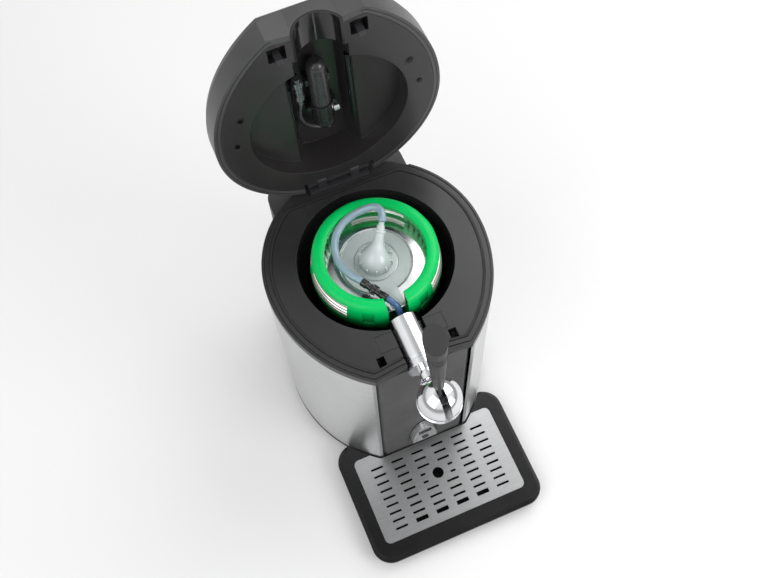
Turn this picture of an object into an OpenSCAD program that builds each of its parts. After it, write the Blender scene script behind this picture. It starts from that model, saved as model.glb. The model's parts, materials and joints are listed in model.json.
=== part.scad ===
// Worktop beer dispenser for a five litre mini keg: cooled well, domed lid on a
// rear hinge, lever tap, drip tray. Millimetres, +Z up, front towards -Y, origin
// on the well's axis at worktop level. The lid is drawn open, as it is stored.

/* [Body] */
// Radius of the round rear of the body
body_r = 140; // [136:1:146]
// Distance from the well's axis to the flat front
body_front = 147; // [144:1:152]
// Half width of the body where the side curves meet the front
body_half = 66; // [60:1:72]
// Height of the deck above the worktop
deck_z = 341; // [330:1:356]
// Height of the deck's rim band
deck_h = 12; // [10:1:16]
// Thickness of the steel wrap
steel_t = 1; // [0.8:0.1:1.5]
// Height of the steel wrap's lower edge
steel_z = 20; // [16:1:24]
// Wall of the moulded covers
wall = 2.5; // [2:0.1:3.2]
// Outer radius of the rubber foot ring
foot_r = 126; // [120:1:130]
// Width of the foot ring
foot_w = 12; // [8:1:14]
// Height of the rubber foot ring
foot_h = 4; // [3:0.5:5]

/* [Deck] */
// How far the deck stands proud of the body's front
deck_proud = 2.5; // [1.5:0.5:4]
// How far the front edge dips back towards the tap
front_dip = 4; // [2:0.5:6]
// Radius of the keg opening
opening_r = 97; // [94:0.5:99]
// Distance of the seal groove from the deck's rim
groove_in = 10; // [8:0.5:12]
// Width of the seal groove
groove_w = 3; // [2.5:0.5:4]
// Depth of the seal groove
groove_d = 3; // [2:0.5:3.5]
// Depth of the shelf behind the opening that receives the open lid
shelf_d = 3; // [3:0.1:4]
// Distance from the axis to the shelf's straight front edge
shelf_y = 106; // [103:1:109]

/* [Keg and well] */
// Radius of the keg
keg_r = 80; // [76:0.5:81]
// Height of the keg with its ring
keg_h = 250; // [236:1:256]
// How far the ring stands above the deck
keg_proud = 17; // [12:1:18]
// Gap between the keg and the well's wall
well_gap = 8; // [6:0.5:9]
// Height of the keg's green ring
ring_h = 46; // [40:1:50]
// Inner radius of the green ring at its top
ring_in = 62; // [58:1:64]
// Wall of the well
well_t = 2; // [1.5:0.1:3]
// Thickness of the foam round the well
foam_t = 26; // [22:1:28]

/* [Lid] */
// Radius of the lid's round rear
lid_r = 138; // [134:1:139]
// Distance from the axis to the lid's front corners
lid_front = 156.5; // [154:0.5:160]
// Half width of the lid between its front corners
lid_half = 55; // [50:1:60]
// Height of the lid's upright wall
lid_wall_h = 28; // [25:1:32]
// Height of the lid over the rim
lid_h = 64; // [62:1:70]
// Gap between the deck and the closed lid
lid_gap = 1.5; // [1:0.1:2.5]
// Angle of the open lid
lid_open = 93; // [90:1:94]
// Width of the lid's outer rim band
rim_w = 8; // [6.5:0.5:9]
// Depth of the liner's round recess
recess_d = 20; // [20:0.5:24]
// Depth of the liner's channel for the gas regulator
channel_d = 47; // [46:0.5:49]
// Half width of the channel at the recess
channel_half = 40; // [37:1:42]
// Distance from the axis to the hinge line
hinge_y = 125; // [123:0.5:126]
// Height of the hinge line above the deck
hinge_up = 11.5; // [11:0.1:13]
// Radius of the hinge pin
hinge_pin_r = 2; // [1.5:0.1:2.5]

/* [Tap] */
// Height of the tap's axis below the deck
tap_drop = 15; // [13:0.5:17]
// Radius of the tap's barrel
barrel_r = 20; // [18:0.5:21]
// Distance from the well's axis to the barrel's rear end
barrel_back = 84; // [83.5:0.5:86]
// Distance from the well's axis to the barrel's front end
barrel_front = 141; // [138:1:143]
// Radius of the neck between barrel and ball
neck_r = 9; // [7:0.5:11]
// Radius of the tap's ball
ball_r = 27; // [24:0.5:28]
// Distance from the well's axis to the ball's centre
ball_y = 192; // [190:1:198]
// Length of the lever from the ball's centre to its top
lever_len = 142; // [120:1:150]
// Radius of the lever's grip at the top
grip_r = 14; // [12:0.5:15]
// Angle by which the lever leans back at rest
lever_lean = 7; // [4:0.5:7]
// Length of the spout below the ball's centre
spout_len = 62; // [52:1:72]

/* [Drip tray] */
// Half width of the drip tray
tray_half = 127; // [124:1:134]
// Distance from the well's axis to the tray's front
tray_front = 291; // [286:1:300]
// Distance from the well's axis to the tray's rear corners
tray_back = 112; // [108:1:118]
// Height of the tray
tray_h = 25; // [22:1:28]
// Corner radius of the tray
tray_corner = 27; // [18:1:30]
// Width of the tray's rim beside the grille
tray_rim = 21; // [18:0.5:24]
// Thickness of the grille plate
grille_t = 1.2; // [1:0.1:2]
// Spacing of the grille's slot columns
slot_col = 31; // [29:0.5:32]
// Spacing of the grille's slot rows
slot_row = 11.25; // [10:0.25:12]
// Length of a grille slot
slot_len = 18; // [14:0.5:20]
// Width of a grille slot
slot_w = 3; // [2:0.1:3.2]

/* [Rear and cooling] */
// Half width of the rear housing
rear_half = 92; // [88:1:96]
// How far the rear cowl stands out behind the round of the body
rear_out = 18; // [16:1:24]
// Height of the rear housing's top
rear_top = 322; // [310:1:326]
// Height of the fan's centre
fan_z = 205; // [195:1:215]
// Half width of the fan frame
fan_half = 46; // [40:1:48]
// Depth of the fan frame
fan_d = 15; // [14:0.5:15]
// Number of cooling fins
fin_count = 15; // [9:1:17]

/* [Hidden] */
$fn = 96;
clear = 0.3;
fit = 0.05;
thin = 0.01;
lap_t = 1.5;
well_r = keg_r + well_gap;
keg_top = deck_z + keg_proud;
keg_base = keg_top - keg_h;
steel_top = deck_z - deck_h;
collar_t = 3;
collar_h = 29;
well_top = deck_z - collar_h;
funnel_h = 14;
foam_r = well_r + well_t + clear + foam_t;
foam_base = keg_base - well_t - 18;
pan_floor = foot_h + 3;
tap_z = deck_z - tap_drop;
hinge_z = deck_z + hinge_up;
rim_z = deck_z + lid_gap;
crown_in = 110;
crown_steps = 8;
knuckle_r = 6.5;
latch_x = 46;
latch_y = 129;
cradle_half = 43;
cradle_front = 119;
grille_z = tray_h - grille_t - 0.2;
spout_top = [22, 31, deck_z + 25];
regulator_r = 11.5;
regulator_up = 31;
regulator_body_r = 13;
coupler_x = -25;
coupler_up = 28;
window_h = 22;
panel_half = 60;
panel_t = 3;
badge_half = 18;
badge_rise = 53;
badge_z = 50;
cold_half = 25;
cold_end = 22;
peltier_t = 4;
rear_y = body_r + rear_out;
sink_base_t = 5;
sink_y = well_r + well_t + clear + cold_end + peltier_t;
fan_y = rear_y - wall - 1.2 - fan_d;
// Clear beer line, from the spout's nozzle round the inside of the ring to the front
line_r = 4.75;
line_path = [
    spout_top, [24, 34, deck_z + 27], [26, 42, deck_z + 27.5], [23, 50, deck_z + 27], [14, 55, deck_z + 24],
    [-4, 57, deck_z + 18], [-23, 52, deck_z + 13], [-37, 39, deck_z + 9], [-44, 20, deck_z + 8],
    [-44, 1, deck_z + 8], [-38, -14, deck_z + 9], [-32, -23, deck_z + 10], [-29, -28, deck_z + 10]
];
// Blue beer line, from the inline coupler over the ring's notch to the tap's rear end
feed_r = 4;
feed_path = [
    [-9.5, -60.5, deck_z + 9], [-7, -64.6, deck_z + 8.9], [-3, -70, deck_z + 5.5],
    [-1, -74, deck_z - 1], [0, -77.5, deck_z - 9], [0, -80.5, tap_z], [0, 0.1 - barrel_back, tap_z]
];
// Thin gas hose, from the quick coupler to the regulator's end, in the closed lid
gas_r = 2;
gas_path = [
    [-25, -6.9, rim_z + 28], [-25.5, -1, rim_z + 28.2], [-27, 8, rim_z + 29.5], [-27, 24, rim_z + 33],
    [-22, 42, rim_z + 37], [-12, 56, rim_z + 39], [-2, 61, rim_z + 38], [4, 60, rim_z + 35],
    [5, 57, rim_z + 32], [5, 53, rim_z + 31], [5, 48.6, rim_z + 31]
];

// Radius of the arc that leaves the round rear at its widest and ends at a front corner
function side_arc(r, half, front) = (front * front + (r - half) * (r - half)) / (2 * (r - half));

// Plan of the body and lid: round behind, gently curved sides, front with a shallow dip
module plan(r, half, front, dip = 0, inset = 0) {
    arc = side_arc(r, half, front);
    dip_half = 26;
    far = 2 * r;
    intersection() {
        union() {
            circle(r = r - inset);
            intersection() {
                translate([r - arc, 0]) circle(r = arc - inset, $fn = 192);
                translate([arc - r, 0]) circle(r = arc - inset, $fn = 192);
                translate([-far, -far]) square([2 * far, far]);
            }
        }
        polygon([
            [-far, far], [-far, inset - front], [-half, inset - front],
            [-dip_half, inset - front + dip], [dip_half, inset - front + dip],
            [half, inset - front], [far, inset - front], [far, far]
        ]);
    }
}
module body_plan(inset = 0) plan(body_r, body_half, body_front, 0, inset);
module deck_plan(inset = 0) {
    plan(body_r, body_half - 4, body_front + deck_proud, front_dip, inset);
}
module lid_plan(inset = 0) plan(lid_r, lid_half, lid_front, front_dip, inset);

module slab(z0, z1) translate([0, 0, z0]) linear_extrude(z1 - z0) children();

// Rectangle with round corners, drawn from exact squares and circles
module round_rect(x0, y0, x1, y1, r) {
    translate([x0 + r, y0]) square([x1 - x0 - 2 * r, y1 - y0]);
    translate([x0, y0 + r]) square([x1 - x0, y1 - y0 - 2 * r]);
    for (x = [x0 + r, x1 - r], y = [y0 + r, y1 - r]) translate([x, y]) circle(r = r);
}
module box(low, high) translate(low) cube(high - low);
module rod_x(x0, x1, y, z, r) translate([x0, y, z]) rotate([0, 90, 0]) cylinder(r = r, h = x1 - x0);
module rod_y(y0, y1, z, r, x = 0) translate([x, y1, z]) rotate([90, 0, 0]) cylinder(r = r, h = y1 - y0);
module pipe(z0, z1, r_out, r_in) {
    translate([0, 0, z0]) difference() {
        cylinder(r = r_out, h = z1 - z0);
        translate([0, 0, -1]) cylinder(r = r_in, h = z1 - z0 + 2);
    }
}

// The lid's pieces are drawn closed and turned open about the hinge line
module opened() {
    translate([0, hinge_y, hinge_z]) rotate([-lid_open, 0, 0]) translate([0, -hinge_y, -hinge_z])
        children();
}

// Round tube swept along a route of points, as one closed surface
function unit(v) = v / norm(v);
function heading(p, i) = unit(p[min(i + 1, len(p) - 1)] - p[max(i - 1, 0)]);
function across(t) = unit(cross(t, abs(t[2]) > 0.9 ? [1, 0, 0] : [0, 0, 1]));
function carried(p, i) = i == 0 ? across(heading(p, 0))
    : let (t = heading(p, i), u = carried(p, i - 1)) unit(u - (u * t) * t);
module tube(path, r, sides = 10) {
    rings = [
        for (i = [0:len(path) - 1])
            let (t = heading(path, i), u = carried(path, i), v = cross(t, u))
            for (k = [0:sides - 1])
                path[i] + r * (cos(360 * k / sides) * u + sin(360 * k / sides) * v)
    ];
    last = (len(path) - 1) * sides;
    faces = concat(
        [[for (k = [0:sides - 1]) k]],
        [for (i = [0:len(path) - 2], k = [0:sides - 1]) let (
            a = i * sides + k, b = i * sides + (k + 1) % sides)
            each [[a, b + sides, b], [a, a + sides, b + sides]]],
        [[for (k = [sides - 1:-1:0]) last + k]]
    );
    polyhedron(points = rings, faces = faces, convexity = 6);
}

// Cuts and shapes that several pieces share
module tap_passage(gap) rod_y(-2 * body_r, 14 - opening_r, tap_z, barrel_r + gap);
module badge_plan(half, rise) {
    steps = 24;
    polygon([for (i = [0:steps]) let (a = 180 * i / steps) [half * cos(a), rise * sin(a)]]);
}
module on_front(y, depth) {
    translate([0, -y, badge_z]) rotate([90, 0, 0]) linear_extrude(depth) children();
}

// ---- Base and body ----

module foot_ring() color("dimgray") pipe(0, foot_h, foot_r, foot_r - foot_w);

post_x = 78;
post_y = 66;
module base_pan() {
    pan_in = steel_t + clear;
    color("#1b1b1c") {
        difference() {
            slab(foot_h, steel_z + 5) body_plan(pan_in);
            slab(pan_floor, steel_z + 6) body_plan(pan_in + wall);
            for (x = [-48:12:48]) box([x - 2, 70, foot_h - 1], [x + 2, 106, pan_floor + 1]);
            box([-panel_half - 2, -2 * body_front, steel_z], [panel_half + 2, 19 - body_front, deck_z]);
        }
        difference() {
            slab(foot_h + 6, steel_z) body_plan(0);
            slab(foot_h + 5, steel_z + 1) body_plan(pan_in);
        }
        for (x = [-post_x, post_x], y = [-post_y, post_y]) {
            translate([x, y, pan_floor]) cylinder(r = 7, h = foam_base - pan_floor);
            box([x - 1.5, y - 12, pan_floor], [x + 1.5, y + 12, pan_floor + 30]);
        }
    }
}

module side_shell() {
    color("silver") difference() {
        slab(steel_z, steel_top) body_plan(0);
        slab(steel_z - 1, steel_top + 1) body_plan(steel_t);
        box([-panel_half - 2, -body_front - 1, steel_z - 1],
            [panel_half + 2, -body_front + 30, steel_top + 1]);
        box([-70, 60, steel_z + 12], [70, body_r + 1, rear_top - 26]);
    }
}

module panel_plan(inset) {
    bevel = 5;
    y = inset - body_front;
    polygon([
        [inset - panel_half - 1.5, 18 - body_front], [inset - panel_half - 1.5, y + bevel],
        [inset - panel_half + bevel, y], [panel_half - bevel - inset, y],
        [panel_half + 1.5 - inset, y + bevel], [panel_half + 1.5 - inset, 18 - body_front]
    ]);
}
module front_panel() {
    color("#5b5b5d") difference() {
        slab(steel_z, steel_top) panel_plan(0);
        slab(steel_z - 1, steel_top + 1) translate([0, thin]) panel_plan(panel_t);
        tap_passage(1);
        on_front(body_front - 6, 12) badge_plan(badge_half - 4, badge_rise - 10);
    }
}

module badge_surround() {
    color("#161617") difference() {
        on_front(body_front, 1.2) badge_plan(badge_half + 4, badge_rise + 12);
        on_front(body_front - 1, 4) badge_plan(badge_half, badge_rise);
    }
}

bezel_d = 7;
module display_bezel() {
    color("#c4c6c9") difference() {
        on_front(body_front, bezel_d) badge_plan(badge_half - fit, badge_rise - fit);
        on_front(body_front + 3, 10) translate([-9.5, 26]) square([19, 17]);
        rod_y(-body_front - 20, -body_front + 1, badge_z + 14, 5.2);
    }
}
module display_window() {
    color("#0c1014") difference() {
        on_front(body_front + 3, bezel_d - 3.6) translate([-9.3, 26.2]) square([18.6, 16.6]);
        for (x = [-4.4, 4.4]) {
            on_front(body_front + bezel_d - 1, 4) translate([x - 2.2, 30]) square([4.4, 9]);
        }
    }
}
module set_button() {
    color("#3a3b3d") union() {
        rod_y(-body_front - bezel_d - 1.6, -body_front - 1.6, badge_z + 14, 5);
        rod_y(-body_front - 1.6, -body_front + panel_t - 0.2, badge_z + 14, 3);
    }
}
module control_board() {
    board_y = body_front - panel_t - 2.2;
    color("#1f5c38") difference() {
        union() {
            box([-26, -board_y, steel_z + 8], [26, -board_y + 1.6, steel_z + 84]);
            box([-9, -board_y + 1.6, steel_z + 52], [9, -board_y + 6, steel_z + 66]);
            box([-22, -board_y + 1.6, steel_z + 14], [-6, -board_y + 10, steel_z + 24]);
            for (x = [-24, 24], z = [steel_z + 12, steel_z + 80])
                rod_y(-board_y - 2.2, -board_y, z, 2.2, x);
        }
    }
}
module power_supply() {
    color("#8d9094") union() {
        difference() {
            box([-48, 8, pan_floor], [48, 62, pan_floor + 34]);
            for (x = [-40:8:40]) box([x - 2, 14, pan_floor + 31], [x + 2, 56, pan_floor + 35]);
        }
        box([-54, 12, pan_floor], [54, 22, pan_floor + 2]);
    }
}

// ---- Deck ----

module deck() {
    pocket_h = deck_h - 4;
    color("#3b3b3c") difference() {
        union() {
            slab(steel_top, deck_z) deck_plan(0);
            translate([0, 0, well_top]) cylinder(r = opening_r + collar_t, h = collar_h);
        }
        translate([0, 0, well_top - 1]) cylinder(r = opening_r, h = collar_h + 2);
        difference() {
            slab(steel_top - 1, steel_top + pocket_h) deck_plan(4);
            cylinder(r = opening_r + collar_t, h = deck_z);
            for (s = [-1, 1]) box(
                [s * 22 + min(0, s * 4), -body_front, steel_top - 1],
                [s * 22 + max(0, s * 4), -90, deck_z]);
        }
        difference() {
            slab(deck_z - groove_d, deck_z + 1) deck_plan(groove_in);
            slab(deck_z - groove_d - 1, deck_z + 2) difference() {
                deck_plan(groove_in + groove_w);
                translate([-body_r, shelf_y - groove_w]) square(2 * body_r);
            }
            box([-body_r, shelf_y, 0], [body_r, body_r, 2 * deck_z]);
        }
        difference() {
            slab(deck_z - 1.2, deck_z + 1) deck_plan(3);
            slab(deck_z - 2, deck_z + 2) deck_plan(4.4);
        }
        box([-body_r, shelf_y, deck_z - shelf_d], [body_r, body_r + 1, deck_z + 1]);
        tap_passage(clear);
        box([-barrel_r - clear, -2 * body_r, tap_z], [barrel_r + clear, -opening_r + 12, deck_z + 1]);
        difference() {
            box([-cradle_half - clear, -cradle_front - clear, well_top - 1],
                [cradle_half + clear, -opening_r - clear, deck_z + 1]);
            cylinder(r = opening_r + collar_t, h = 2 * deck_z);
        }
        for (s = [-1, 1]) box(
            [s * latch_x - 5, -latch_y - 6.5, steel_top - 1], [s * latch_x + 5, -latch_y + 6.5, deck_z + 1]);
        for (x = [-31, 31]) translate([x, hinge_y + 5, 0]) cylinder(r = 1.7, h = 2 * deck_z);
    }
}

module lid_seal() {
    seal_z = deck_z - groove_d;
    color("#232324") difference() {
        slab(seal_z, deck_z + lid_gap - clear) difference() {
            deck_plan(groove_in + 0.2);
            difference() {
                deck_plan(groove_in + groove_w - 0.2);
                translate([-body_r, shelf_y - groove_w + 0.2]) square(2 * body_r);
            }
            translate([-body_r, shelf_y - 0.2]) square(2 * body_r);
        }
        box([-barrel_r - 3, -2 * body_r, 0], [barrel_r + 3, -opening_r, 2 * deck_z]);
    }
}

module tap_cradle() {
    color("#4a4a4c") difference() {
        union() {
            box([-cradle_half, -cradle_front, tap_z - barrel_r - 4],
                [cradle_half, -opening_r - 2 * clear, deck_z]);
            for (x = [-cradle_half + 6, cradle_half - 6])
                box([x - 3, -cradle_front + 4, tap_z - barrel_r - 9],
                    [x + 3, -opening_r - 4, tap_z - barrel_r - 4]);
        }
        cylinder(r = opening_r + collar_t + clear, h = 2 * deck_z);
        rod_y(-cradle_front - 1, -opening_r + 1, tap_z, barrel_r + fit);
        box([-barrel_r - fit, -cradle_front - 1, tap_z], [barrel_r + fit, -opening_r + 1, deck_z + 1]);
        for (s = [-1, 1], y = [-cradle_front + 7, -opening_r - 7])
            box([s * 33 - 7, y - 2, tap_z - barrel_r - 10], [s * 33 + 7, y + 2, deck_z - 6]);
    }
}

// ---- Cooled well ----

module well_liner() {
    color("#2b2c2e") difference() {
        rotate_extrude() polygon([
            [0, keg_base - well_t], [well_r + well_t, keg_base - well_t],
            [well_r + well_t, well_top - funnel_h - 1], [opening_r + collar_t, well_top - 3],
            [opening_r + collar_t, well_top], [opening_r, well_top],
            [well_r, well_top - funnel_h], [well_r, keg_base], [0, keg_base]
        ]);
        tap_passage(1);
    }
}
module well_foam() {
    bore = well_r + well_t + clear;
    color("#e9e7df") difference() {
        translate([0, 0, foam_base]) cylinder(r = foam_r, h = well_top - 18 - foam_base);
        translate([0, 0, keg_base - well_t]) cylinder(r = bore, h = 300);
        box([-cold_half - clear, bore - 10, fan_z - cold_half - clear],
            [cold_half + clear, foam_r + 10, fan_z + cold_half + clear]);
        box([-30, -foam_r - 5, tap_z - barrel_r - 20], [30, -bore + 1, well_top]);
    }
}
module cold_block() {
    face = well_r + well_t;
    color("#b9bcc0") difference() {
        box([-cold_half, face - 6, fan_z - cold_half], [cold_half, face + clear + cold_end, fan_z + cold_half]);
        cylinder(r = face + clear, h = 400);
    }
}
module peltier_module() {
    color("#ece9e0")
        box([-20, sink_y - peltier_t, fan_z - 20], [20, sink_y, fan_z + 20]);
}
module heat_sink() {
    fin_top = fan_y - clear;
    pitch = 96 / (fin_count - 1);
    color("#a9acb0") union() {
        box([-49, sink_y, fan_z - 50], [49, sink_y + sink_base_t, fan_z + 50]);
        for (i = [0:fin_count - 1]) box(
            [-48.7 + i * pitch, sink_y + sink_base_t - thin, fan_z - 50],
            [-47.3 + i * pitch, fin_top, fan_z + 50]);
    }
}
module fan_frame() {
    hub_y = fan_y + fan_d;
    color("#1d1d1f") difference() {
        union() {
            difference() {
                box([-fan_half, fan_y, fan_z - fan_half], [fan_half, hub_y, fan_z + fan_half]);
                rod_y(fan_y - 1, hub_y + 1, fan_z, fan_half - 2);
            }
            rod_y(hub_y - 3, hub_y, fan_z, 17);
            for (a = [45:90:315]) translate([0, 0, fan_z]) rotate([0, a, 0])
                box([15, hub_y - 3, -2], [fan_half + 1, hub_y, 2]);
        }
        rod_y(hub_y - 4, hub_y + 1, fan_z, 2 + fit);
        for (x = [-1, 1], z = [-1, 1])
            rod_y(fan_y - 1, hub_y + 1, fan_z + z * (fan_half - 4.5), 1.8, x * (fan_half - 4.5));
    }
}
blades = 7;
module fan_rotor() {
    hub_y = fan_y + fan_d;
    color("#2a2a2c") union() {
        rod_y(fan_y + 1, hub_y - 3.4, fan_z, 16);
        rod_y(hub_y - 4, hub_y - 0.6, fan_z, 2);
        for (i = [0:blades - 1]) translate([0, 0, fan_z]) rotate([0, i * 360 / blades, 0])
            translate([14, fan_y + 5.8, 0]) rotate([32, 0, 0])
                box([0, -0.8, -9], [fan_half - 18, 0.8, 9]);
    }
}
module rear_plan(inset) {
    round_rect(inset - rear_half, 60, rear_half - inset, rear_y - inset, 22 - inset);
}
module rear_housing() {
    low = steel_z + 2;
    vent = fan_half - 2;
    color("#2c2c2e") difference() {
        slab(low, rear_top) rear_plan(0);
        slab(low + wall, rear_top - wall) rear_plan(wall);
        slab(0, 2 * rear_top) difference() {
            body_plan(-clear);
            translate([-2 * body_r, -2 * body_r]) square([4 * body_r, 2 * body_r]);
        }
        box([-body_r, 0, 0], [body_r, 92, 2 * rear_top]);
        box([-vent - 2, rear_y - wall - 1, fan_z - vent - 2], [vent + 2, rear_y + 1, fan_z + vent + 2]);
        box([-44, rear_y - wall - 1, low + 18], [-16, rear_y + 1, low + 38]);
        box([20, rear_y - wall - 1, low + 18], [41, rear_y + 1, low + 33]);
        for (s = [-1, 1], z = [low + 60:12:rear_top - 50])
            box([s * rear_half - wall - 1, rear_y - 46, z], [s * rear_half + wall + 1, rear_y - 26, z + 4]);
    }
}
module vent_grille() {
    vent = fan_half;
    bar = 8;
    color("#242426") difference() {
        box([-vent, rear_y - wall - 1, fan_z - vent], [vent, rear_y - 0.6, fan_z + vent]);
        for (z = [fan_z - vent + 4:bar:fan_z + vent - 6], s = [-1, 1])
            box([s > 0 ? 2 : 5 - vent, rear_y - wall - 2, z], [s > 0 ? vent - 5 : -2, rear_y, z + bar - 3]);
    }
}
module power_inlet() {
    z = steel_z + 20.2;
    color("#151516") difference() {
        union() {
            box([-43.8, rear_y - 16, z], [-16.2, rear_y, z + 19.6]);
            box([-46.5, rear_y, z - 2.6], [-13.5, rear_y + 2, z + 22.4]);
        }
        box([-40.5, rear_y - 12, z + 3], [-19.5, rear_y + 3, z + 16.5]);
    }
}
module power_switch() {
    z = steel_z + 27.5;
    y = rear_y - 3;
    color("#101011") union() {
        rod_x(20.2, 40.8, y, z, 4.5);
        translate([0, y, z]) rotate([10, 0, 0]) box([20.4, 0, -6], [40.6, 4.6, 6]);
    }
}
module deck_screws() {
    color("#8a8c90") for (x = [-31, 31]) translate([x, hinge_y + 5, deck_z - shelf_d]) union() {
        translate([0, 0, 4]) cylinder(r = 3, h = 1.8);
        translate([0, 0, -8]) cylinder(r = 1.6, h = 12.5);
    }
}

// ---- Hinge ----

module hinge_bracket() {
    base = deck_z - shelf_d;
    color("#2f2f31") difference() {
        union() {
            box([-40, hinge_y - 11, base], [40, hinge_y + 10, base + 4]);
            for (s = [-1, 1]) union() {
                rod_x(s * 22 - 6, s * 22 + 6, hinge_y, hinge_z, knuckle_r);
                box([s * 22 - 6, hinge_y - knuckle_r, base], [s * 22 + 6, hinge_y + knuckle_r, hinge_z]);
            }
        }
        rod_x(-50, 50, hinge_y, hinge_z, hinge_pin_r + 0.02);
        for (x = [-31, 31]) translate([x, hinge_y + 5, 0]) cylinder(r = 1.7, h = 2 * deck_z);
        rod_x(-15.7, 15.7, hinge_y, hinge_z, knuckle_r + 1.5);
        for (s = [-1, 1]) rod_x(s * 35 - 6.7, s * 35 + 6.7, hinge_y, hinge_z, knuckle_r + 1.5);
    }
}
module hinge_pin() color("#c9cbce") rod_x(-41.5, 41.5, hinge_y, hinge_z, hinge_pin_r);

module hinge_leaf() {
    plate_z = rim_z + wall + lap_t;
    leaf_y = opening_r + wall + 0.5;
    leaf_back = leaf_y + 11;
    spans = [[-41, -28.3], [-15.7, 15.7], [28.3, 41]];
    color("#2f2f31") opened() difference() {
        union() {
            box([-44, leaf_y, plate_z], [44, leaf_back, plate_z + 4]);
            for (s = spans) union() {
                rod_x(s[0], s[1], hinge_y, hinge_z, knuckle_r);
                box([s[0], leaf_back - 1, plate_z], [s[1], hinge_y, hinge_z + 2]);
            }
        }
        rod_x(-50, 50, hinge_y, hinge_z, hinge_pin_r + fit + 0.01);
        for (s = [-1, 1]) rod_x(s * 22 - 6.3, s * 22 + 6.3, hinge_y, hinge_z, knuckle_r + 2.5);
        box([-50, hinge_y - 2 * knuckle_r, 0], [50, hinge_y + 20, hinge_z - knuckle_r]);
    }
}

// ---- Lid ----

// Outline of the lid's crown: upright wall, then a quarter ellipse to the flat top
function crown_points(r, inset, drop, low) = concat(
    [[0, low], [r - inset, low]],
    [for (i = [0:crown_steps]) let (a = 90 * i / crown_steps) [
        r - inset - (crown_in - inset) * (1 - cos(a)),
        rim_z + lid_wall_h + (lid_h - lid_wall_h - drop) * sin(a)]],
    [[0, rim_z + lid_h - drop]]
);
// Crown over the lid's plan: one dome behind, two wide ones meeting in front
module crown(inset, drop, front, low) {
    arc = side_arc(lid_r, lid_half, lid_front);
    wide = 250;
    ahead = crown_points(front, inset, drop, low);
    last = len(ahead) - 1;
    intersection() {
        union() {
            rotate_extrude(angle = 180) polygon(crown_points(lid_r, inset, drop, low));
            intersection() {
                translate([lid_r - arc, 0, 0]) rotate_extrude() polygon(crown_points(arc, inset, drop, low));
                translate([arc - lid_r, 0, 0]) rotate_extrude() polygon(crown_points(arc, inset, drop, low));
                box([-wide, -wide, 0], [wide, 0, 3 * wide]);
            }
        }
        rotate([90, 0, 90]) translate([0, 0, -wide]) linear_extrude(2 * wide) polygon([
            [wide, low], for (i = [1:last - 1]) [-ahead[i][0], ahead[i][1]],
            [wide, ahead[last][1]]
        ]);
    }
}
module lid_front_dip(depth) {
    translate([0, 0, rim_z - 1]) linear_extrude(lid_h + 2) polygon([
        [-lid_half, -lid_front - 1], [-lid_half, depth - lid_front], [-26, depth + front_dip - lid_front],
        [26, depth + front_dip - lid_front], [lid_half, depth - lid_front], [lid_half, -lid_front - 1]
    ]);
}
tunnel_half = 26;
tunnel_rise = 19;
tunnel_r = (tunnel_half * tunnel_half + tunnel_rise * tunnel_rise) / (2 * tunnel_rise);
tunnel_z = rim_z + tunnel_rise - tunnel_r;
tunnel_end = 112;

module hinge_window() box([-46, 112, rim_z - 1], [46, lid_r + 4, rim_z + window_h]);

module lid_shell() {
    color("#39393b") opened() difference() {
        crown(0, 0, lid_front, rim_z);
        lid_front_dip(0);
        crown(wall, wall, lid_front - front_dip, rim_z + wall);
        slab(rim_z - 1, rim_z + wall + 1) lid_plan(rim_w);
        hinge_window();
        rod_y(-lid_front - 1, -100, tunnel_z, tunnel_r + wall + clear);
    }
}

module channel_plan(extra) {
    polygon([
        [-channel_half - extra, -2], [-channel_half - extra, recess_d + extra],
        [-30 - extra, channel_d - 2], [-28 - extra, channel_d + extra],
        [28 + extra, channel_d + extra], [30 + extra, channel_d - 2],
        [channel_half + extra, recess_d + extra], [channel_half + extra, -2]
    ]);
}
module channel_space(extra) {
    intersection() {
        translate([0, opening_r + extra, rim_z]) rotate([90, 0, 0])
            linear_extrude(opening_r + tunnel_end + 2 * extra) channel_plan(extra);
        union() {
            translate([0, 0, rim_z - 1]) cylinder(r = opening_r + extra, h = 100);
            box([-32 - extra, -tunnel_end - extra, rim_z], [32 + extra, -60, rim_z + channel_d - 9 + extra]);
        }
    }
}
module liner_pocket(s, extra) {
    box([s * latch_x - 10 - extra, -latch_y - 13 - extra, rim_z - 1],
        [s * latch_x + 10 + extra, -latch_y + 7 + extra, rim_z + 13 + extra]);
}
screw_spots = [[101, -50], [112, -9]];

module lid_liner() {
    color("#333335") opened() difference() {
        union() {
            slab(rim_z, rim_z + wall) lid_plan(rim_w + clear);
            slab(rim_z + wall, rim_z + wall + lap_t) lid_plan(rim_w - 1);
            translate([0, 0, rim_z]) cylinder(r = opening_r + wall, h = recess_d + wall);
            channel_space(wall);
            intersection() {
                slab(rim_z, rim_z + 40) lid_plan(rim_w + clear);
                rod_y(-lid_front, -100, tunnel_z, tunnel_r + 2 * wall);
            }
            for (s = [-1, 1]) liner_pocket(s, wall);
        }
        box([-200, -200, 0], [200, 200, rim_z]);
        translate([0, 0, rim_z - 1]) cylinder(r = opening_r, h = recess_d + 1);
        channel_space(0);
        rod_y(-lid_front - 1, -tunnel_end + 1, tunnel_z, tunnel_r + wall + fit);
        for (s = [-1, 1]) liner_pocket(s, 0);
        hinge_window();
        for (p = screw_spots, s = [-1, 1]) translate([s * p[0], p[1], rim_z - 1]) cylinder(r = 1.8, h = 20);
    }
}
module lid_tunnel() {
    color("#0d0d0e") opened() intersection() {
        difference() {
            rod_y(-lid_front + front_dip + 0.4, -tunnel_end, tunnel_z, tunnel_r + wall);
            rod_y(-lid_front - 1, -tunnel_end + 1, tunnel_z, tunnel_r);
        }
        box([-60, -lid_front - 1, rim_z], [60, 0, rim_z + 60]);
    }
}
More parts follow.
